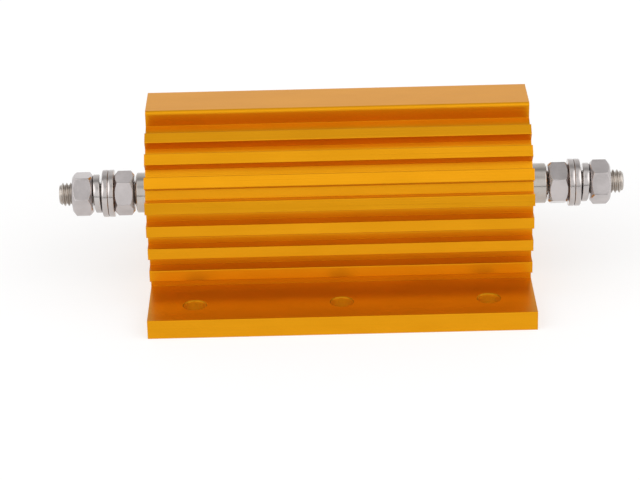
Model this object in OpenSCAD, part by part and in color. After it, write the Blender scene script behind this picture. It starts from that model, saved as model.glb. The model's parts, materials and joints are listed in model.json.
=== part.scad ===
// Aluminium housed power resistor.
// A finned aluminium extrusion lies along X with its mounting face at z = 0.
// A wirewound ceramic element is cast into its bore, and a threaded terminal
// with two nuts, two flat washers and a spring washer stands out of each end.

/* [Housing] */
// Length of the extrusion
body_length = 96.2; // [84:0.1:140]
// Height of the flat top above the mounting face
body_height = 48.3; // [46.5:0.1:52]
// Width of the flat top
top_width = 14.5; // [12:0.5:18]
// Height of the middle of the round core above the mounting face
core_height = 23.9; // [23:0.1:25]
// Radius of the round core that carries the fins
core_radius = 21.5; // [20:0.1:22.5]
// Height of the axis of the bore and the terminals above the mounting face
axis_height = 23.6; // [23:0.1:25]
// Bore that holds the resistance element
bore_diameter = 28; // [24:0.5:32]
// Width of the neck between the flanges and the fins
neck_width = 34; // [28:0.5:38]
// How much narrower each side of the top is at its foot, next to the fins
top_undercut = 0.3; // [0:0.1:1]
// Radius that rounds the two long edges of the flat top
top_edge_radius = 0.8; // [0.4:0.1:2]

/* [Mounting flanges] */
// Width over both flanges
flange_width = 75.5; // [70:0.5:90]
// Thickness of a flange
flange_thickness = 4.8; // [4:0.1:6]
// Diameter of a mounting hole
hole_diameter = 5.6; // [4:0.1:6]
// Mounting holes in each flange
holes_per_flange = 3; // [2:1:3]
// Distance from one hole to the next along the housing
hole_pitch = 36.6; // [20:0.1:40]
// Distance between the two rows of holes
hole_row_spacing = 57.8; // [54:0.1:60]
// Chamfer that breaks the upper edge of each hole
hole_edge_break = 0.25; // [0.1:0.05:0.5]

/* [Fins] */
// Thickness of a fin
fin_thickness = 3; // [2:0.1:3.2]
// Radius that rounds the two edges of each fin's tip
fin_edge_radius = 0.2; // [0.1:0.05:0.8]
// Level fins on each side, below the axis
level_fins = 3; // [1:1:3]
// Height of the lowest level fin's middle
level_fin_height = 9.4; // [8.5:0.1:10.5]
// Distance from one level fin to the next
level_fin_pitch = 6.8; // [6:0.1:7.5]
// Reach of the lowest level fin from the middle of the housing
level_fin_reach = 21.2; // [20:0.1:24]
// How much further out each next level fin reaches
level_fin_step = 1.85; // [0:0.05:2]
// Upright wall of the groove above each level fin, from the middle of the
// housing, lowest first
groove_wall_reach = [17.3, 19.8, 21.5]; // [14:0.1:21.5]
// Slopes of the fanned fins on each side, lowest first
fan_slopes = [12.7, 26.3, 40.4, 55.2]; // [10:0.1:60]
// Reach of the fanned fins from the middle of the core, lowest first
fan_reach = [27, 26.8, 25, 24.3]; // [23:0.1:30]
// Radius of the groove floor between the two lowest fanned fins
shoulder_radius = 23.2; // [22.5:0.1:25]

/* [Resistance element] */
// Shift of the whole element along the bore from its middle
element_shift = 0.7; // [-1:0.1:1]
// Length of the ceramic core
ceramic_length = 64; // [40:1:68]
// Radius of the ceramic core
ceramic_radius = 7; // [4:0.5:8]
// Radius of the resistance wire
wire_radius = 0.5; // [0.2:0.05:0.7]
// Turns of resistance wire
wire_turns = 20; // [8:1:24]
// Wall of the pressed cap on each end of the ceramic core
cap_wall = 2; // [1:0.1:3]
// How far a cap reaches over the ceramic core
cap_overlap = 6; // [4:0.5:8]

/* [End bushes] */
// Thickness of the insulating bush in each end of the bore
bush_thickness = 5; // [3:0.5:6]
// How far the bush sits inside the end of the bore
bush_recess = 0.6; // [0:0.1:2]

/* [Terminals] */
// Diameter of the plain collar of a terminal stud
collar_diameter = 10.3; // [8:0.1:12]
// Distance from the element's middle to the end of a collar
collar_reach = 52.4; // [50:0.1:56]
// Distance from the element's middle to the tip of a stud
stud_reach = 72.2; // [71:0.1:80]
// Chamfer around the end of a collar
collar_chamfer = 0.3; // [0.1:0.05:0.8]
// Chamfer around the tip of a stud
tip_chamfer = 0.8; // [0.3:0.1:1]
// Gap between a collar and its inner nut
nut_gap = 0.5; // [0.1:0.1:1.2]

/* [Hardware, M6] */
// Nominal thread diameter
thread_diameter = 6; // [6]
// Pitch of the thread
thread_pitch = 1; // [1]
// Width of a nut across its flats
nut_across_flats = 10; // [10]
// Thickness of a nut
nut_thickness = 5.2; // [4.7:0.1:5.2]
// Diameter of the flat round face inside a nut's chamfer
nut_face_diameter = 9.2; // [8.4:0.1:9.6]
// Slope of a nut's chamfer
nut_chamfer_slope = 40; // [25:1:45]
// Outer diameter of a flat washer
washer_outer_diameter = 12.1; // [11:0.1:12.5]
// Inner diameter of a flat washer
washer_inner_diameter = 6.4; // [6.2:0.1:6.6]
// Thickness of a flat washer
washer_thickness = 1.5; // [1.2:0.1:1.8]
// Outer diameter of a spring washer
spring_outer_diameter = 9.9; // [9:0.1:11.8]
// Inner diameter of a spring washer
spring_inner_diameter = 6.2; // [6.1:0.1:6.4]
// Thickness of a spring washer
spring_thickness = 1.6; // [1.2:0.1:1.6]
// Space that a spring washer takes along the stud
spring_height = 2.45; // [2:0.05:3]
// Angle of the split in a spring washer
spring_split = 14; // [8:1:20]
// Turn of the left inner nut about the stud
left_inner_turn = 19; // [0:1:59]
// Turn of the left outer nut about the stud
left_outer_turn = 35; // [0:1:59]
// Turn of the right inner nut about the stud
right_inner_turn = 58; // [0:1:59]
// Turn of the right outer nut about the stud
right_outer_turn = 15; // [0:1:59]

/* [Hidden] */

$fn = 96;
overcut = 1;
edge_fn = 24;
left = -1;
right = 1;

bore_radius = bore_diameter / 2;
collar_radius = collar_diameter / 2;
thread_radius = thread_diameter / 2;

// A nut and its stud meet on the thread's pitch line, which lies 3/8 of the full
// height of the thread's 60 degree profile below the crests.
thread_profile_height = sqrt(3) / 2 * thread_pitch;
pitch_line_radius = thread_radius - 3 / 8 * thread_profile_height;

// The coil's straight segments stay clear of the ceramic core's round surface.
wire_segments = 16;
wire_sides = 6;
coil_radius = (ceramic_radius + wire_radius) / cos(180 / wire_segments);
cap_radius = coil_radius + wire_radius;
cap_face = ceramic_length / 2 + cap_wall;
coil_span = ceramic_length - 2 * cap_overlap - 2 * wire_radius;

bush_outer_face = body_length / 2 - bush_recess;
bush_inner_face = bush_outer_face - bush_thickness;

// A nut is a hexagon cut from a round blank whose faces are already chamfered. The
// blank is wider than the hexagon's corners by this much.
blank_allowance = 0.5;
nut_corner_radius = nut_across_flats / sqrt(3);
nut_blank_radius = nut_corner_radius + blank_allowance;
nut_face_radius = nut_face_diameter / 2;
nut_chamfer = (nut_blank_radius - nut_face_radius) * tan(nut_chamfer_slope);

spring_rise = spring_height - spring_thickness;
spring_segments = 60;

// Where each piece of a terminal's stack starts, measured from the inner nut's inner face
inner_washer_start = nut_thickness;
outer_washer_start = inner_washer_start + washer_thickness;
spring_start = outer_washer_start + washer_thickness;
outer_nut_start = spring_start + spring_height;

housing_color = "#e6960f";
filling_color = "#c9c5bb";
ceramic_color = "#f1eee4";
wire_color = "#8d8a86";
metal_color = "#c8c4c2";
spring_color = "#b9b5b4";

// ---- Placing ----

// Stands a shape built along +Z on the bore's axis, facing out of one end
module along_axis(end, start) {
    translate([start, 0, axis_height])
        rotate([0, end * 90, 0])
            children();
}

// Stands a piece of a terminal on its stud. "offset" is measured outward
// from the inner face of that end's inner nut.
module on_stud(end, offset) {
    along_axis(end, element_shift + end * (collar_reach + nut_gap + offset))
        children();
}

// ---- Housing ----

// A bar from x = 0 to its reach, with the two corners at its tip rounded
module fin_bar(reach) {
    half = fin_thickness / 2;
    translate([0, -half])
        square([reach - fin_edge_radius, fin_thickness]);
    translate([0, fin_edge_radius - half])
        square([reach, fin_thickness - 2 * fin_edge_radius]);
    for (side = [-1, 1])
        translate([reach - fin_edge_radius, side * (half - fin_edge_radius)])
            circle(r = fin_edge_radius, $fn = edge_fn);
}

// The part of the core between two directions from its middle
module core_sector(radius, from, to) {
    intersection() {
        circle(r = radius);
        polygon([[0, 0],
            2 * radius * [cos(from), sin(from)],
            2 * radius * [cos(to), sin(to)]]);
    }
}

// Height of the middle of a level fin. One step above the highest, the lowest
// fanned fin at the groove's wall.
function level_fin_middle(i) = i < level_fins
    ? level_fin_height + i * level_fin_pitch
    : core_height + groove_wall_reach[level_fins - 1] * tan(fan_slopes[0]);

module level_fin_profile() {
    for (i = [0 : level_fins - 1])
        translate([0, level_fin_middle(i)]) {
            fin_bar(level_fin_reach + i * level_fin_step);
            square([groove_wall_reach[i], level_fin_middle(i + 1) - level_fin_middle(i)]);
        }
}

module fanned_fin_profile() {
    translate([0, core_height]) {
        for (i = [0 : len(fan_slopes) - 1])
            rotate(fan_slopes[i])
                fin_bar(fan_reach[i]);
        core_sector(shoulder_radius, fan_slopes[0], fan_slopes[1]);
    }
}

module top_profile() {
    half = top_width / 2;
    foot = core_height + core_radius * cos(asin(half / core_radius));
    translate([0, core_height])
        square([half - top_undercut, foot - core_height]);
    polygon([[0, foot], [half - top_undercut, foot],
        [half, body_height - top_edge_radius], [0, body_height - top_edge_radius]]);
    translate([0, foot])
        square([half - top_edge_radius, body_height - foot]);
    translate([half - top_edge_radius, body_height - top_edge_radius])
        circle(r = top_edge_radius, $fn = edge_fn);
}

module flange_profile() {
    half = flange_width / 2;
    square([half - fin_edge_radius, flange_thickness]);
    square([half, flange_thickness - fin_edge_radius]);
    translate([half - fin_edge_radius, flange_thickness - fin_edge_radius])
        circle(r = fin_edge_radius, $fn = edge_fn);
    square([neck_width / 2, core_height]);
}

// One side of the extrusion's section, seen along the bore
module side_profile() {
    translate([0, core_height])
        core_sector(core_radius, 0, 90);
    top_profile();
    flange_profile();
    level_fin_profile();
    fanned_fin_profile();
}

module housing_profile() {
    side_profile();
    mirror([1, 0])
        side_profile();
}

module mounting_hole() {
    translate([0, 0, -overcut])
        cylinder(h = flange_thickness + 2 * overcut, d = hole_diameter);
    translate([0, 0, flange_thickness - hole_edge_break])
        cylinder(h = hole_edge_break + overcut, r1 = hole_diameter / 2,
            r2 = hole_diameter / 2 + hole_edge_break + overcut);
}

module housing() {
    first_hole = -hole_pitch * (holes_per_flange - 1) / 2;
    color(housing_color)
        difference() {
            translate([-body_length / 2, 0, 0])
                rotate([90, 0, 90])
                    linear_extrude(height = body_length)
                        housing_profile();
            along_axis(right, -body_length / 2 - overcut)
                cylinder(h = body_length + 2 * overcut, r = bore_radius);
            for (i = [0 : holes_per_flange - 1], side = [-1, 1])
                translate([first_hole + i * hole_pitch, side * hole_row_spacing / 2, 0])
                    mounting_hole();
        }
}

// ---- Resistance element ----

module ceramic_core() {
    color(ceramic_color)
        along_axis(right, element_shift - ceramic_length / 2)
            cylinder(h = ceramic_length, r = ceramic_radius);
}

// Corners of the wire's cross-section at one step of the coil
function wire_ring(step) =
    let (turn = 360 * step / wire_segments,
        rise = coil_span * step / (wire_turns * wire_segments))
    [for (i = [0 : wire_sides - 1])
        let (corner = 360 * i / wire_sides,
            r = coil_radius + wire_radius * cos(corner))
        [r * cos(turn), r * sin(turn), rise + wire_radius * sin(corner)]];

// A closed sweep through rings of points, with a flat face at each end
module sweep(rings) {
    sides = len(rings[0]);
    last = len(rings) - 1;
    points = [for (ring = rings) for (point = ring) point];
    skin = [for (s = [0 : last - 1], i = [0 : sides - 1])
        let (j = (i + 1) % sides)
        [s * sides + i, s * sides + j, (s + 1) * sides + j, (s + 1) * sides + i]];
    start_face = [for (i = [sides - 1 : -1 : 0]) i];
    end_face = [for (i = [0 : sides - 1]) last * sides + i];
    polyhedron(points, concat([start_face], skin, [end_face]), convexity = 10);
}

module resistance_wire() {
    steps = wire_turns * wire_segments;
    color(wire_color)
        along_axis(right, element_shift - coil_span / 2)
            sweep([for (step = [0 : steps]) wire_ring(step)]);
}

module core_cap(end) {
    color(metal_color)
        along_axis(end, element_shift + end * (ceramic_length / 2 - cap_overlap))
            difference() {
                cylinder(h = cap_overlap + cap_wall, r = cap_radius);
                translate([0, 0, -overcut])
                    cylinder(h = cap_overlap + overcut, r = ceramic_radius);
            }
}

module core_cap_left() {
    core_cap(left);
}

module core_cap_right() {
    core_cap(right);
}

// The casting around the element, from one bush to the other
module filling() {
    color(filling_color)
        difference() {
            along_axis(right, -bush_inner_face)
                cylinder(h = 2 * bush_inner_face, r = bore_radius);
            along_axis(right, element_shift - cap_face)
                cylinder(h = 2 * cap_face, r = cap_radius);
            along_axis(right, -body_length / 2)
                cylinder(h = body_length, r = collar_radius);
        }
}

module end_bush(end) {
    color(ceramic_color)
        along_axis(end, end * bush_inner_face)
            difference() {
                cylinder(h = bush_thickness, r = bore_radius);
                translate([0, 0, -overcut])
                    cylinder(h = bush_thickness + 2 * overcut, r = collar_radius);
            }
}

module end_bush_left() {
    end_bush(left);
}

module end_bush_right() {
    end_bush(right);
}

// ---- Terminals ----

// A round bar with a chamfer around its far end
module chamfered_bar(length, radius, chamfer) {
    cylinder(h = length - chamfer, r = radius);
    translate([0, 0, length - chamfer])
        cylinder(h = chamfer, r1 = radius, r2 = radius - chamfer);
}

// What a nut's threads take out of the stud that it is screwed on
module nut_thread() {
    difference() {
        cylinder(h = nut_thickness, r = thread_radius + overcut);
        translate([0, 0, -overcut])
            cylinder(h = nut_thickness + 2 * overcut, r = pitch_line_radius);
    }
}

module terminal_stud(end) {
    color(metal_color)
        difference() {
            along_axis(end, element_shift + end * cap_face) {
                chamfered_bar(collar_reach - cap_face, collar_radius, collar_chamfer);
                chamfered_bar(stud_reach - cap_face, thread_radius, tip_chamfer);
            }
            on_stud(end, 0) nut_thread();
            on_stud(end, outer_nut_start) nut_thread();
        }
}

module terminal_stud_left() {
    terminal_stud(left);
}

module terminal_stud_right() {
    terminal_stud(right);
}

// A hexagonal nut with both faces chamfered. "turn" lifts the normal of one
// flat above the horizontal, on the side that faces -Y.
module hex_nut(end, turn) {
    color(metal_color)
        difference() {
            intersection() {
                rotate([0, 0, 30 - 90 - end * turn])
                    cylinder(h = nut_thickness, r = nut_corner_radius, $fn = 6);
                rotate_extrude()
                    polygon([[0, 0], [nut_face_radius, 0],
                        [nut_blank_radius, nut_chamfer],
                        [nut_blank_radius, nut_thickness - nut_chamfer],
                        [nut_face_radius, nut_thickness], [0, nut_thickness]]);
            }
            translate([0, 0, -overcut])
                cylinder(h = nut_thickness + 2 * overcut, r = pitch_line_radius);
        }
}

module flat_washer() {
    color(metal_color)
        difference() {
            cylinder(h = washer_thickness, d = washer_outer_diameter);
            translate([0, 0, -overcut])
                cylinder(h = washer_thickness + 2 * overcut, d = washer_inner_diameter);
        }
}

// Corners of a spring washer's cross-section. The split is at the back, on the
// +Y side. The washer leaves the outer nut level above it, drops across the
// front and comes back level against the flat washer below it.
function spring_ring(step, end) =
    let (part = step / spring_segments,
        turn = -90 + end * (180 - spring_split / 2) * (2 * part - 1),
        low = spring_rise * (1 + cos(180 * part)) / 2,
        inner = spring_inner_diameter / 2,
        outer = spring_outer_diameter / 2)
    [for (corner = [[inner, 0], [outer, 0], [outer, spring_thickness], [inner, spring_thickness]])
        [corner[0] * cos(turn), corner[0] * sin(turn), low + corner[1]]];

module spring_washer(end) {
    color(spring_color)
        sweep([for (step = [0 : spring_segments]) spring_ring(step, end)]);
}

module inner_nut_left() {
    on_stud(left, 0) hex_nut(left, left_inner_turn);
}

module inner_nut_right() {
    on_stud(right, 0) hex_nut(right, right_inner_turn);
}

module inner_washer_left() {
    on_stud(left, inner_washer_start) flat_washer();
}

module inner_washer_right() {
    on_stud(right, inner_washer_start) flat_washer();
}

module outer_washer_left() {
    on_stud(left, outer_washer_start) flat_washer();
}

module outer_washer_right() {
    on_stud(right, outer_washer_start) flat_washer();
}

module spring_washer_left() {
    on_stud(left, spring_start) spring_washer(left);
}

module spring_washer_right() {
    on_stud(right, spring_start) spring_washer(right);
}

module outer_nut_left() {
    on_stud(left, outer_nut_start) hex_nut(left, left_outer_turn);
}

module outer_nut_right() {
    on_stud(right, outer_nut_start) hex_nut(right, right_outer_turn);
}

housing();
filling();
ceramic_core();
resistance_wire();
core_cap_left();
core_cap_right();
end_bush_left();
end_bush_right();
terminal_stud_left();
terminal_stud_right();
inner_nut_left();
inner_nut_right();
inner_washer_left();
inner_washer_right();
outer_washer_left();
outer_washer_right();
spring_washer_left();
spring_washer_right();
outer_nut_left();
outer_nut_right();
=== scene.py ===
"""Looks of the aluminium housed power resistor.

The CAD housing and the hidden parts keep their shapes and get materials. The
studs, nuts and washers are replaced by pieces in the same places, with real
threads, broken edges and countersinks.
"""

import json
import math

import bmesh
import bpy
from mathutils import Matrix, Vector

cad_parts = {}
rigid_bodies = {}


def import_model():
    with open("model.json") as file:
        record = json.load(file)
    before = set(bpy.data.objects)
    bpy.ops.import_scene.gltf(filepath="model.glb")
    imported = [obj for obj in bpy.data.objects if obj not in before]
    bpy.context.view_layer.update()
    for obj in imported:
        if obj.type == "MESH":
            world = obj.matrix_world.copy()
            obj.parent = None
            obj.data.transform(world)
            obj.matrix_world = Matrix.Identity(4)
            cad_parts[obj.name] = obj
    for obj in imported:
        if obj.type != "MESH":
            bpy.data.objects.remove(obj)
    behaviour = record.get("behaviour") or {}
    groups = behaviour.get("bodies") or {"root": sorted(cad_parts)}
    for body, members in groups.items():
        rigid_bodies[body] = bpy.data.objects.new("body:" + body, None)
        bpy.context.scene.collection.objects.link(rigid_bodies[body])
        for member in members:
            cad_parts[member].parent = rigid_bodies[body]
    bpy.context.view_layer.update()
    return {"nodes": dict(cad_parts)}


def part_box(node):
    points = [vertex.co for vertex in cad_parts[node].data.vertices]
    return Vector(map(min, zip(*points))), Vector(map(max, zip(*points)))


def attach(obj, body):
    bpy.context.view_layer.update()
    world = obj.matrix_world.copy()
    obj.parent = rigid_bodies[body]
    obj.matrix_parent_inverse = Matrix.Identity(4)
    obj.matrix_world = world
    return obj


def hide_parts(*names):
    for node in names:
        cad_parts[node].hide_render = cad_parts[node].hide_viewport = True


for leftover in list(bpy.data.objects):
    bpy.data.objects.remove(leftover)

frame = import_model()

MM = 0.001
LEFT, RIGHT = -1, 1
SIDES = {LEFT: "left", RIGHT: "right"}


# ---------------------------------------------------------------- camera

# The camera looks square at the long side, from this far above the horizon.
ELEVATION = math.radians(23.39)
ROLL = math.radians(-1.375)
# These two are in millimetres.
LENS = 141.0
SENSOR_WIDTH = 36
# From the lens to the middle of the housing's mounting face, which lies this far
# to the right of the middle of the view, and this far below it
DISTANCE = 652.6 * MM
ASIDE = 5.08 * MM
BELOW = 8.39 * MM
NEAREST_SEEN, FURTHEST_SEEN = 0.01, 20


def make_camera():
    lo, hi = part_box("housing")
    target = Vector(((lo.x + hi.x) / 2, (lo.y + hi.y) / 2, lo.z))
    ahead = Vector((0, math.cos(ELEVATION), -math.sin(ELEVATION)))
    up = Vector((0, math.sin(ELEVATION), math.cos(ELEVATION)))
    across = Vector((1, 0, 0))
    data = bpy.data.cameras.new("camera")
    data.sensor_width = SENSOR_WIDTH
    data.lens = LENS
    data.clip_start, data.clip_end = NEAREST_SEEN, FURTHEST_SEEN
    camera = bpy.data.objects.new("camera", data)
    bpy.context.scene.collection.objects.link(camera)
    turn = Matrix((across, up, -ahead)).transposed() @ Matrix.Rotation(ROLL, 3, "Z")
    camera.matrix_world = Matrix.Translation(
        target - ASIDE * across + BELOW * up - DISTANCE * ahead
    ) @ turn.to_4x4()
    bpy.context.scene.camera = camera


# ---------------------------------------------------------------- node helpers


class Tree:
    """A few short names for building a material's nodes."""

    def __init__(self, owner):
        owner.use_nodes = True
        self.nodes = owner.node_tree.nodes
        self.links = owner.node_tree.links
        self.nodes.clear()

    def add(self, kind, **settings):
        node = self.nodes.new(kind)
        for name, value in settings.items():
            setattr(node, name, value)
        return node

    def link(self, output, socket):
        self.links.new(output, socket)

    def stretched(self, scale, source=None):
        """Object coordinates in metres, times a number per axis."""
        if source is None:
            source = self.add("ShaderNodeTexCoord").outputs["Object"]
        mapping = self.add("ShaderNodeMapping")
        mapping.inputs["Scale"].default_value = scale
        self.link(source, mapping.inputs["Vector"])
        return mapping.outputs["Vector"]

    def noise(self, scale, detail=3, roughness=0.5):
        """Noise from 0 to 1 whose cells are 1/scale metres along each axis."""
        node = self.add("ShaderNodeTexNoise")
        node.inputs["Scale"].default_value = 1
        node.inputs["Detail"].default_value = detail
        node.inputs["Roughness"].default_value = roughness
        self.link(self.stretched(scale), node.inputs["Vector"])
        return node.outputs["Fac"]

    def spread(self, value, low, high, from_low=0.3, from_high=0.7):
        """A value that goes from low to high while the given one crosses its own range."""
        node = self.add("ShaderNodeMapRange")
        node.inputs["From Min"].default_value = from_low
        node.inputs["From Max"].default_value = from_high
        node.inputs["To Min"].default_value = low
        node.inputs["To Max"].default_value = high
        self.link(value, node.inputs["Value"])
        return node.outputs["Result"]

    def math(self, operation, first, second=None):
        node = self.add("ShaderNodeMath", operation=operation)
        for place, value in enumerate((first, second)):
            if value is None:
                continue
            if isinstance(value, (int, float)):
                node.inputs[place].default_value = value
            else:
                self.link(value, node.inputs[place])
        return node.outputs[0]

    def ramp(self, value, stops):
        node = self.add("ShaderNodeValToRGB")
        elements = node.color_ramp.elements
        while len(elements) < len(stops):
            elements.new(0.5)
        for element, (place, colour) in zip(elements, stops):
            element.position = place
            element.color = (*colour, 1)
        self.link(value, node.inputs["Fac"])
        return node.outputs["Color"]

    def bump(self, height, distance, strength, normal=None):
        node = self.add("ShaderNodeBump")
        node.inputs["Distance"].default_value = distance
        node.inputs["Strength"].default_value = strength
        self.link(height, node.inputs["Height"])
        if normal is not None:
            self.link(normal, node.inputs["Normal"])
        return node.outputs["Normal"]

    def broken_edges(self, radius):
        """Normals that shade the sharp edges as if they were rounded."""
        node = self.add("ShaderNodeBevel", samples=4)
        node.inputs["Radius"].default_value = radius
        return node.outputs["Normal"]

    def surface(self, **sockets):
        """The Principled shader and the output. Numbers and colours go onto the shader itself."""
        shader = self.add("ShaderNodeBsdfPrincipled")
        for name, value in sockets.items():
            socket = shader.inputs[name.replace("_", " ")]
            if isinstance(value, bpy.types.NodeSocket):
                self.link(value, socket)
            else:
                socket.default_value = value
        output = self.add("ShaderNodeOutputMaterial")
        self.link(shader.outputs["BSDF"], output.inputs["Surface"])


def srgb(red, green, blue):
    """A colour as Blender wants it, from the 0 to 255 numbers it shows as."""
    def line(value):
        value /= 255
        return value / 12.92 if value <= 0.04045 else ((value + 0.055) / 1.055) ** 2.4

    return line(red), line(green), line(blue)


# ---------------------------------------------------------------- materials

# The drilled holes are told from the rest by place: under the flanges' top, with a little
# to spare, and between the flanges' long edges. Level faces there are left out.
FLANGE_TOP = 4.8 * MM
TO_SPARE = 0.01 * MM
BETWEEN_EDGES = 36 * MM
LEVEL = 0.95
RIM_TILT = 0.3
CUT_ROUGHER = 0.24
# Painted shade: the share by which the colour of the holes' upward rims is darkened
RIM_PAINTED_SHADE = 0.42
# Faces that point this much along X are the sawn ends. The offset puts the centre of the
# saw's arcs in front of them and below.
ALONG_X = 0.9
SAW_OFFSET = (0, 0.16, 0.10)
SAW_SCALE = 330
SAW_OVER_DIE_LINES = 5.0
GOLD = [
    (0.36, (0.725, 0.299, 0.004)),
    (0.52, (0.755, 0.315, 0.005)),
    (0.66, (0.785, 0.332, 0.006)),
]


def anodised_housing():
    """Gold anodised extrusion: die lines along X, a satin etch, saw marks on the cut ends."""
    material = bpy.data.materials.new("anodised_housing_look")
    tree = Tree(material)
    die_lines = tree.noise((9, 5200, 5200), detail=4, roughness=0.65)
    broad_lines = tree.noise((4, 700, 700), detail=2)
    etch = tree.noise((9000, 9000, 9000), detail=2)
    clouds = tree.noise((70, 160, 160), detail=3)

    geometry = tree.add("ShaderNodeNewGeometry")
    facing = tree.add("ShaderNodeSeparateXYZ")
    tree.link(geometry.outputs["True Normal"], facing.inputs[0])
    place = tree.add("ShaderNodeSeparateXYZ")
    tree.link(geometry.outputs["Position"], place.inputs[0])
    on_end = tree.math("GREATER_THAN", tree.math("ABSOLUTE", facing.outputs["X"]), ALONG_X)
    saw = tree.add("ShaderNodeTexWave", wave_type="RINGS", rings_direction="X")
    saw.inputs["Scale"].default_value = 1
    saw.inputs["Distortion"].default_value = 3
    saw.inputs["Detail"].default_value = 2
    centre = tree.add("ShaderNodeVectorMath", operation="ADD")
    centre.inputs[1].default_value = SAW_OFFSET
    tree.link(tree.add("ShaderNodeTexCoord").outputs["Object"], centre.inputs[0])
    tree.link(tree.stretched((SAW_SCALE,) * 3, centre.outputs[0]), saw.inputs["Vector"])

    marks = tree.add("ShaderNodeMix")
    tree.link(on_end, marks.inputs["Factor"])
    tree.link(die_lines, marks.inputs["A"])
    saw_height = tree.math("MULTIPLY", saw.outputs["Fac"], SAW_OVER_DIE_LINES)
    tree.link(saw_height, marks.inputs["B"])

    normal = tree.broken_edges(0.18 * MM)
    normal = tree.bump(marks.outputs["Result"], 0.006 * MM, 0.55, normal)
    normal = tree.bump(broad_lines, 0.012 * MM, 0.35, normal)
    normal = tree.bump(etch, 0.003 * MM, 0.5, normal)

    # The sawn ends and the drilled holes with their rims are duller than what the die drew.
    in_flange = tree.math("LESS_THAN", place.outputs["Z"], FLANGE_TOP + TO_SPARE)
    off_edge = tree.math("LESS_THAN", tree.math("ABSOLUTE", place.outputs["Y"]), BETWEEN_EDGES)
    steep = tree.math("LESS_THAN", facing.outputs["Z"], LEVEL)
    drilled = tree.math("MULTIPLY", tree.math("MULTIPLY", in_flange, off_edge), steep)
    cut = tree.math("MAXIMUM", on_end, drilled)
    satin = tree.spread(die_lines, 0.27, 0.34)
    roughness = tree.math("ADD", satin, tree.math("MULTIPLY", cut, CUT_ROUGHER))

    streaks = tree.math("MULTIPLY", die_lines, 0.45)
    tone = tree.math("ADD", streaks, tree.math("MULTIPLY", clouds, 0.55))
    colour = tree.ramp(tone, GOLD)
    # Painted shade: the base colour is darker on the holes' upward-facing rims, to dim their
    # highlight.
    upward = tree.math("GREATER_THAN", facing.outputs["Z"], RIM_TILT)
    rims = tree.math("MULTIPLY", drilled, upward)
    painted_rim_shade = tree.add("ShaderNodeVectorMath", operation="SCALE")
    tree.link(colour, painted_rim_shade.inputs[0])
    kept = tree.math("SUBTRACT", 1.0, tree.math("MULTIPLY", rims, RIM_PAINTED_SHADE))
    tree.link(kept, painted_rim_shade.inputs["Scale"])
    tree.surface(
        Base_Color=painted_rim_shade.outputs[0],
        Metallic=0.86,
        Specular_IOR_Level=0.2,
        Roughness=roughness,
        Normal=normal,
    )
    return material


def bright_metal(name, colours, roughness, marks, mark_depth, pits=0.25):
    """Nickel plated steel with machining or tumbling marks along one direction."""
    material = bpy.data.materials.new(name)
    tree = Tree(material)
    lines = tree.noise(marks, detail=3, roughness=0.6)
    waves = tree.noise((420, 420, 420), detail=2)
    spots = tree.noise((2600, 2600, 2600), detail=2)
    stain = tree.noise((240, 240, 240), detail=3)
    normal = tree.bump(lines, mark_depth, 0.5)
    normal = tree.bump(waves, 0.03 * MM, 0.35, normal)
    normal = tree.bump(spots, 0.006 * MM, pits, normal)
    tree.surface(
        Base_Color=tree.ramp(stain, [(0.35, colours[0]), (0.65, colours[1])]),
        Metallic=1.0,
        Roughness=tree.spread(spots, roughness * 0.8, roughness * 1.25),
        Normal=normal,
    )
    return material


def matte(name, colours, roughness, grain, depth):
    """Ceramic and casting compound: no metal, a fine grain."""
    material = bpy.data.materials.new(name)
    tree = Tree(material)
    fine = tree.noise((grain, grain, grain), detail=4, roughness=0.6)
    cloud = tree.noise((grain / 12,) * 3, detail=3)
    tree.surface(
        Base_Color=tree.ramp(cloud, [(0.35, colours[0]), (0.65, colours[1])]),
        Roughness=tree.spread(fine, roughness - 0.08, roughness + 0.08),
        Normal=tree.bump(fine, depth, 0.6),
    )
    return material


HOUSING = anodised_housing()
STUD = bright_metal(
    "terminal_metal_look",
    [(0.47, 0.435, 0.40), (0.55, 0.51, 0.475)],
    roughness=0.13,
    marks=(7000, 260, 260),
    mark_depth=0.004 * MM,
)
THREAD_LOOK = bright_metal(
    "rolled_thread_look",
    [(0.45, 0.405, 0.365), (0.53, 0.485, 0.445)],
    roughness=0.32,
    marks=(2600, 2600, 2600),
    mark_depth=0.006 * MM,
)
NUT = bright_metal(
    "plated_nut_look",
    [(0.49, 0.455, 0.45), (0.56, 0.52, 0.515)],
    roughness=0.15,
    marks=(900, 2600, 2600),
    mark_depth=0.004 * MM,
    pits=0.35,
)
WASHER = bright_metal(
    "plated_washer_look",
    [(0.48, 0.445, 0.435), (0.56, 0.52, 0.505)],
    roughness=0.17,
    marks=(5200, 700, 700),
    mark_depth=0.005 * MM,
)
SPRING = bright_metal(
    "spring_steel_look",
    [(0.49, 0.46, 0.45), (0.58, 0.545, 0.53)],
    roughness=0.14,
    marks=(4200, 500, 500),
    mark_depth=0.004 * MM,
)
CERAMIC = matte(
    "white_ceramic_look",
    [srgb(224, 220, 210), srgb(232, 229, 220)],
    roughness=0.5,
    grain=6000,
    depth=0.01 * MM,
)
FILLING = matte(
    "filling_look",
    [srgb(196, 192, 184), srgb(214, 210, 202)],
    roughness=0.75,
    grain=3000,
    depth=0.03 * MM,
)
WIRE = bright_metal(
    "resistance_alloy_look",
    [(0.30, 0.28, 0.27), (0.38, 0.36, 0.34)],
    roughness=0.35,
    marks=(3000, 3000, 3000),
    mark_depth=0.004 * MM,
)

SLOT_LOOKS = {
    "anodised_housing": HOUSING,
    "terminal_metal": STUD,
    "plated_nut": NUT,
    "plated_washer": WASHER,
    "spring_steel": SPRING,
    "white_ceramic": CERAMIC,
    "filling": FILLING,
    "resistance_alloy": WIRE,
}


def dress_cad_nodes():
    """Gives each CAD node the look of the slot it was packed with."""
    for node in frame["nodes"].values():
        slot = node.data.materials[0].name.split(".")[0]
        node.data.materials[0] = SLOT_LOOKS[slot]


# ---------------------------------------------------------------- shapes

NEARLY_STRAIGHT = math.radians(89)
WELD = 0.0005 * MM

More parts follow.
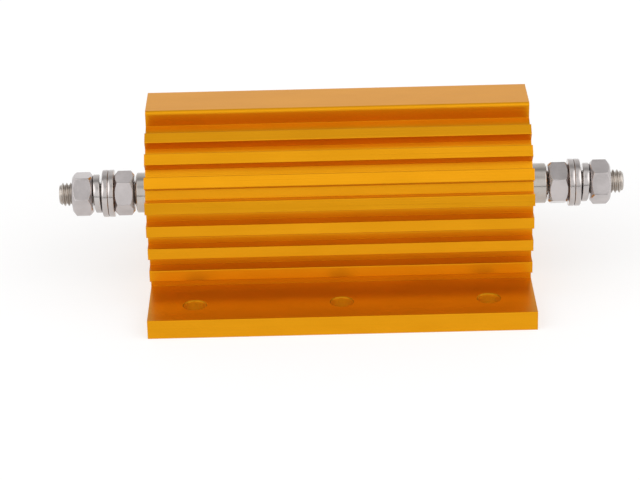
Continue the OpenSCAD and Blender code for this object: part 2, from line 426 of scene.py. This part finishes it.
low_bush, high_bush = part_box("end_bush_right")
AXIS_HEIGHT = (low_bush.z + high_bush.z) / 2


def rounded(points, radii, steps=3):
    """An open line in the plane with its inner corners rounded."""
    line = [Vector(points[0])]
    for before, corner, after, radius in zip(points, points[1:], points[2:], radii):
        corner = Vector(corner)
        one = (Vector(before) - corner).normalized()
        two = (Vector(after) - corner).normalized()
        half = one.angle(two) / 2
        if radius <= 0 or half > NEARLY_STRAIGHT:
            line += [corner] * (steps + 1)
            continue
        start = corner + one * (radius / math.tan(half))
        centre = corner + (one + two).normalized() * (radius / math.sin(half))
        sweep = math.pi - 2 * half
        sign = 1 if one.x * two.y - one.y * two.x < 0 else -1
        for step in range(steps + 1):
            turn = Matrix.Rotation(sign * sweep * step / steps, 2)
            line.append(centre + turn @ (start - centre))
    line.append(Vector(points[-1]))
    return line


def ring(face, outward, radius, angle):
    """A point round a stud's axis, "outward" of a face and "angle" up from the -Y side."""
    x, end = face
    across, up = -radius * math.cos(angle), radius * math.sin(angle)
    return Vector((x + end * outward, across, AXIS_HEIGHT + up))


def skin(mesh, rows, wrap_rows):
    """Adds quads between closed rows of points, and returns the rows of vertices."""
    made = [[mesh.verts.new(point) for point in row] for row in rows]
    height, width = len(made), len(made[0])
    for i in range(height if wrap_rows else height - 1):
        for j in range(width):
            a, b = made[i], made[(i + 1) % height]
            k = (j + 1) % width
            mesh.faces.new((a[j], a[k], b[k], b[j]))
    return made


def finished(mesh, node, slot):
    """Makes an object of the mesh, which stands for a CAD node and rides on its body."""
    name = node + "_piece"
    bmesh.ops.remove_doubles(mesh, verts=mesh.verts, dist=WELD)
    bmesh.ops.recalc_face_normals(mesh, faces=mesh.faces)
    data = bpy.data.meshes.new(name)
    mesh.to_mesh(data)
    mesh.free()
    for polygon in data.polygons:
        polygon.use_smooth = True
    piece = bpy.data.objects.new(name, data)
    bpy.context.scene.collection.objects.link(piece)
    data.materials.append(SLOT_LOOKS[slot])
    weighted = piece.modifiers.new("flat_faces_stay_flat", "WEIGHTED_NORMAL")
    weighted.mode = "FACE_AREA"
    weighted.weight = 90
    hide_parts(node)
    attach(piece, "root")
    return piece


def inner_face(node, end):
    """The plane of a node's face that looks at the housing, and which way is outward."""
    lo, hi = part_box(node)
    return (lo.x if end == RIGHT else hi.x), end


# ---------------------------------------------------------------- nuts

# Half of the width across flats, and where the chamfer begins
HALF_FLATS = 5.0 * MM
FACE_RADIUS = 4.6 * MM
CHAMFER_SLOPE = math.tan(math.radians(40))
CORNER_ROUND = 0.2 * MM
NUT_BORE = 2.55 * MM
NUT_MOUTH = 3.25 * MM
# At the countersink's two edges, the chamfer's inner edge and its outer one
NUT_ROUNDING = [0.05 * MM, 0.08 * MM, 0.1 * MM, 0.08 * MM]
# How far each nut is turned, in degrees
NUT_TURNS = {
    "inner_nut_left": 19,
    "outer_nut_left": 35,
    "inner_nut_right": 58,
    "outer_nut_right": 15,
}


def hexagon():
    """Angles and radii round a hexagon with rounded corners, from one flat's normal."""
    far = (HALF_FLATS - CORNER_ROUND) / math.cos(math.radians(30))
    half_arc = math.radians(30) - math.atan(far / 2 / HALF_FLATS)
    places = []
    for side in range(6):
        middle = math.radians(60 * side)
        edge = math.radians(30) - half_arc
        for share in (-1, -0.9, -0.7, -0.45, -0.2, 0.2, 0.45, 0.7, 0.9, 1):
            places.append((middle + edge * share, HALF_FLATS / math.cos(edge * share)))
        corner = middle + math.radians(30)
        for share in (-0.5, 0, 0.5):
            off = half_arc * share
            reach = far * math.cos(off) + math.sqrt(CORNER_ROUND**2 - (far * math.sin(off)) ** 2)
            places.append((corner + off, reach))
    return places


def make_nut(node, end):
    """A hexagon nut, chamfered and countersunk on both faces."""
    lo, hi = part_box(node)
    thick = hi.x - lo.x
    face = inner_face(node, end)
    turn = math.radians(NUT_TURNS[node])
    columns = []
    for angle, reach in hexagon():
        slope = (reach - FACE_RADIUS) * CHAMFER_SLOPE
        half = [
            (NUT_BORE, thick / 2),
            (NUT_BORE, NUT_MOUTH - NUT_BORE),
            (NUT_MOUTH, 0),
            (FACE_RADIUS, 0),
            (reach, slope),
            (reach, thick / 2),
        ]
        half = rounded(half, NUT_ROUNDING)
        other = [Vector((p.x, thick - p.y)) for p in reversed(half)][1:-1]
        columns.append((angle + turn, half + other))
    rows = [
        [ring(face, line[i].y, line[i].x, angle) for angle, line in columns]
        for i in range(len(columns[0][1]))
    ]
    mesh = bmesh.new()
    skin(mesh, rows, wrap_rows=True)
    finished(mesh, node, "plated_nut")


# ---------------------------------------------------------------- washers

WASHER_BORE = 3.2 * MM
BORE_RIM, SHARP_RIM, ROLLED_RIM = 0.1 * MM, 0.1 * MM, 0.35 * MM
WASHER_STEPS = 120
# The spring washer's two radii and its wire, and how wide its split is in degrees
SPRING_INNER, SPRING_OUTER, SPRING_WIRE = 3.1 * MM, 4.95 * MM, 1.6 * MM
SPRING_ROUNDING = [0.12 * MM, 0.2 * MM, 0.2 * MM, 0.12 * MM]
SPRING_SPLIT = 14
SPRING_STEPS = 110


def section(inner, outer, thick, radii):
    """A washer's section: a rectangle between two radii with its corners rounded."""
    corners = [(inner, 0), (outer, 0), (outer, thick), (inner, thick)]
    middle = (inner, thick / 2)
    return rounded([middle, *corners, middle], radii)[:-1]


def make_flat_washer(node, end):
    """A punched washer: one rim rolled over by the punch, the other nearly sharp."""
    lo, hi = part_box(node)
    thick = hi.x - lo.x
    outer = (hi.z - lo.z) / 2
    face = inner_face(node, end)
    line = section(WASHER_BORE, outer, thick, [BORE_RIM, SHARP_RIM, ROLLED_RIM, BORE_RIM])
    turns = [math.tau * step / WASHER_STEPS for step in range(WASHER_STEPS)]
    mesh = bmesh.new()
    skin(mesh, [[ring(face, p.y, p.x, turn) for turn in turns] for p in line], wrap_rows=True)
    finished(mesh, node, "plated_washer")


def make_spring_washer(node, end):
    """One turn of square wire with both ends cut off, which leans outward at the top."""
    lo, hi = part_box(node)
    face = inner_face(node, end)
    rise = (hi.x - lo.x) - SPRING_WIRE
    half_turn = math.radians(180 - SPRING_SPLIT / 2)
    line = section(SPRING_INNER, SPRING_OUTER, SPRING_WIRE, SPRING_ROUNDING)
    rows = []
    for step in range(SPRING_STEPS + 1):
        part = step / SPRING_STEPS
        turn = half_turn * (1 - 2 * part)
        low = rise * (1 + math.cos(math.pi * part)) / 2
        rows.append([ring(face, low + p.y, p.x, turn) for p in line])
    mesh = bmesh.new()
    made = skin(mesh, rows, wrap_rows=False)
    mesh.faces.new(made[0])
    mesh.faces.new(made[-1])
    finished(mesh, node, "spring_steel")


# ---------------------------------------------------------------- studs

PITCH = 1.0 * MM
THREAD_RADIUS = 3.0 * MM
# How far the thread stands out of the collar, and how far it goes in
THREAD_LENGTH = (72.2 - 52.4) * MM
THREAD_ROOT = 0.2 * MM
TIP_CHAMFER = 0.8 * MM
COLLAR_RADIUS = 5.15 * MM
COLLAR_CHAMFER = 0.3 * MM
COLLAR_ROUNDING = [0.1 * MM, 0.12 * MM, 0.12 * MM]
# Faces this far beyond the collar have the thread's look.
PAST_COLLAR = 0.05 * MM
THREAD_WELD = 0.0002 * MM
STUD_STEPS = 72
# One turn of a rolled metric thread: share of the pitch, depth under the crest in pitches
THREAD_LINE = [
    (0.0, 0.03), (0.03, 0.0), (0.095, 0.0), (0.125, 0.03), (0.29, 0.31),
    (0.455, 0.585), (0.50, 0.612), (0.5625, 0.622), (0.625, 0.612), (0.67, 0.585), (0.835, 0.31),
]


def make_stud(node, end):
    """A plain collar with a threaded stud in it."""
    lo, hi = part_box(node)
    face = inner_face(node, end)
    inner_end = face[0]
    length = hi.x - lo.x
    # From the stud's inner end to the collar's outer face
    collar = length - THREAD_LENGTH
    turns = [math.tau * step / STUD_STEPS for step in range(STUD_STEPS)]
    mesh = bmesh.new()

    bar = rounded(
        [
            (0, 0),
            (COLLAR_RADIUS, 0),
            (COLLAR_RADIUS, collar - COLLAR_CHAMFER),
            (COLLAR_RADIUS - COLLAR_CHAMFER, collar),
            (0, collar),
        ],
        COLLAR_ROUNDING,
    )
    made = skin(
        mesh, [[ring(face, p.y, p.x, turn) for turn in turns] for p in bar[1:-1]], wrap_rows=False
    )
    mesh.faces.new(made[0])
    mesh.faces.new(made[-1])

    # A right-handed thread, whichever end it is on
    start, tip = collar - THREAD_ROOT, length
    rows = []
    first = math.floor(start / PITCH) - 2
    last = math.ceil(tip / PITCH) + 2
    for number in range(first, last):
        for share, depth in THREAD_LINE:
            row = []
            for turn in turns:
                along = (number + share) * PITCH - end * turn / math.tau * PITCH
                along = min(max(along, start), tip)
                radius = THREAD_RADIUS - depth * PITCH
                radius = min(radius, THREAD_RADIUS - TIP_CHAMFER + (tip - along))
                row.append((along, radius, turn))
            rows.append(row)
    # The last turn of a row meets its first one pitch further on.
    per_turn = len(THREAD_LINE)
    verts = [[mesh.verts.new(ring(face, *place)) for place in row] for row in rows]
    count = len(verts)
    width = len(turns)
    for i in range(count - 1):
        for j in range(width):
            if j < width - 1:
                a, b, c, d = verts[i][j], verts[i][j + 1], verts[i + 1][j + 1], verts[i + 1][j]
            else:
                k = i - end * per_turn
                if not (0 <= k < count - 1):
                    continue
                a, b, c, d = verts[i][j], verts[k][0], verts[k + 1][0], verts[i + 1][j]
            mesh.faces.new((a, b, c, d))
    bmesh.ops.remove_doubles(mesh, verts=mesh.verts, dist=THREAD_WELD)
    bmesh.ops.dissolve_degenerate(mesh, edges=mesh.edges, dist=THREAD_WELD)
    rims = [e for e in mesh.edges if e.is_boundary]
    bmesh.ops.holes_fill(mesh, edges=rims, sides=0)
    stud = finished(mesh, node, "terminal_metal")
    stud.data.materials.append(THREAD_LOOK)
    for patch in stud.data.polygons:
        patch.material_index = int((patch.center.x - inner_end) * end > collar + PAST_COLLAR)


# ---------------------------------------------------------------- stage and light


FLOOR_SIZE = 8
# The floor lies this far under the housing, so that their faces don't coincide.
FLOOR_GAP = 0.02 * MM
FLOOR_GREY = 0.34
FLOOR_GLOW = 0.61


def make_floor():
    """A floor that looks white, and keeps the object's shadow.

    It is grey to the light, so that it throws little of it up. Rays from the camera and
    from shiny or clear things find it glowing as well, which is what makes it white.
    """
    bpy.ops.mesh.primitive_plane_add(size=FLOOR_SIZE, location=(0, 0, -FLOOR_GAP))
    floor = bpy.context.object
    floor.name = "floor"
    material = bpy.data.materials.new("floor_white")
    tree = Tree(material)
    diffuse = tree.add("ShaderNodeBsdfDiffuse")
    diffuse.inputs["Color"].default_value = (FLOOR_GREY, FLOOR_GREY, FLOOR_GREY, 1)
    glow = tree.add("ShaderNodeEmission")
    path = tree.add("ShaderNodeLightPath")
    seen = tree.math("MAXIMUM", path.outputs["Is Camera Ray"], path.outputs["Is Glossy Ray"])
    seen = tree.math("MAXIMUM", seen, path.outputs["Is Transmission Ray"])
    tree.link(tree.math("MULTIPLY", seen, FLOOR_GLOW), glow.inputs["Strength"])
    both = tree.add("ShaderNodeAddShader")
    tree.link(diffuse.outputs[0], both.inputs[0])
    tree.link(glow.outputs[0], both.inputs[1])
    output = tree.add("ShaderNodeOutputMaterial")
    tree.link(both.outputs[0], output.inputs["Surface"])
    floor.data.materials.append(material)


# How bright the tent is, in degrees up from the horizon in front, over the top and down
# to the horizon behind
TENT_TONES = [
    (0, 0.1), (2, 0.3), (4, 0.8), (8, 1.0), (20, 1.05), (40, 1.03), (48, 0.76), (56, 0.66),
    (66, 0.8), (86, 0.88), (97, 0.52), (104, 0.42), (112, 0.46), (122, 0.64), (135, 0.82),
    (156, 0.82), (168, 1.0), (180, 1.0),
]
# Direction from the object to the soft box on its right, how bright that box is, and the
# cosines from its middle at which it begins and is full
SOFT_BOX = Vector((0.72, -0.42, 0.55)).normalized()
SOFT_BOX_TONE = 1.4
SOFT_BOX_RIM, SOFT_BOX_FULL = 0.77, 0.90


def make_world():
    """A light tent with a soft box in front on each side. The camera itself sees white."""
    world = bpy.data.worlds.new("tent")
    bpy.context.scene.world = world
    tree = Tree(world)
    parts = tree.add("ShaderNodeSeparateXYZ")
    tree.link(tree.add("ShaderNodeTexCoord").outputs["Generated"], parts.inputs[0])
    toward = tree.math("MULTIPLY", parts.outputs["Y"], -1.0)
    climb = tree.math("ARCTAN2", parts.outputs["Z"], toward)
    share = tree.math("DIVIDE", climb, math.pi)
    colour = tree.ramp(share, [(degrees / 180, (tone,) * 3) for degrees, tone in TENT_TONES])
    # The cosine of the angle between a direction and the soft box on its side
    beside = tree.math("ABSOLUTE", parts.outputs["X"])
    across = tree.math("MULTIPLY", beside, SOFT_BOX[0])
    upward = tree.math("MULTIPLY", parts.outputs["Z"], SOFT_BOX[2])
    nearer = tree.math("MULTIPLY", toward, -SOFT_BOX[1])
    aim = tree.math("ADD", tree.math("ADD", across, upward), nearer)
    box = tree.spread(aim, 0, SOFT_BOX_TONE, SOFT_BOX_RIM, SOFT_BOX_FULL)
    light = tree.add("ShaderNodeVectorMath", operation="ADD")
    tree.link(colour, light.inputs[0])
    tree.link(box, light.inputs[1])
    tent = tree.add("ShaderNodeBackground")
    tree.link(light.outputs[0], tent.inputs["Color"])
    white = tree.add("ShaderNodeBackground")
    white.inputs["Color"].default_value = (1, 1, 1, 1)
    choose = tree.add("ShaderNodeMixShader")
    tree.link(tree.add("ShaderNodeLightPath").outputs["Is Camera Ray"], choose.inputs["Fac"])
    tree.link(tent.outputs[0], choose.inputs[1])
    tree.link(white.outputs[0], choose.inputs[2])
    output = tree.add("ShaderNodeOutputWorld")
    tree.link(choose.outputs[0], output.inputs["Surface"])


make_camera()
dress_cad_nodes()
for end, side in SIDES.items():
    make_stud(f"terminal_stud_{side}", end)
    make_nut(f"inner_nut_{side}", end)
    make_nut(f"outer_nut_{side}", end)
    make_flat_washer(f"inner_washer_{side}", end)
    make_flat_washer(f"outer_washer_{side}", end)
    make_spring_washer(f"spring_washer_{side}", end)
make_floor()
make_world()
bpy.context.scene.view_settings.view_transform = "Standard"
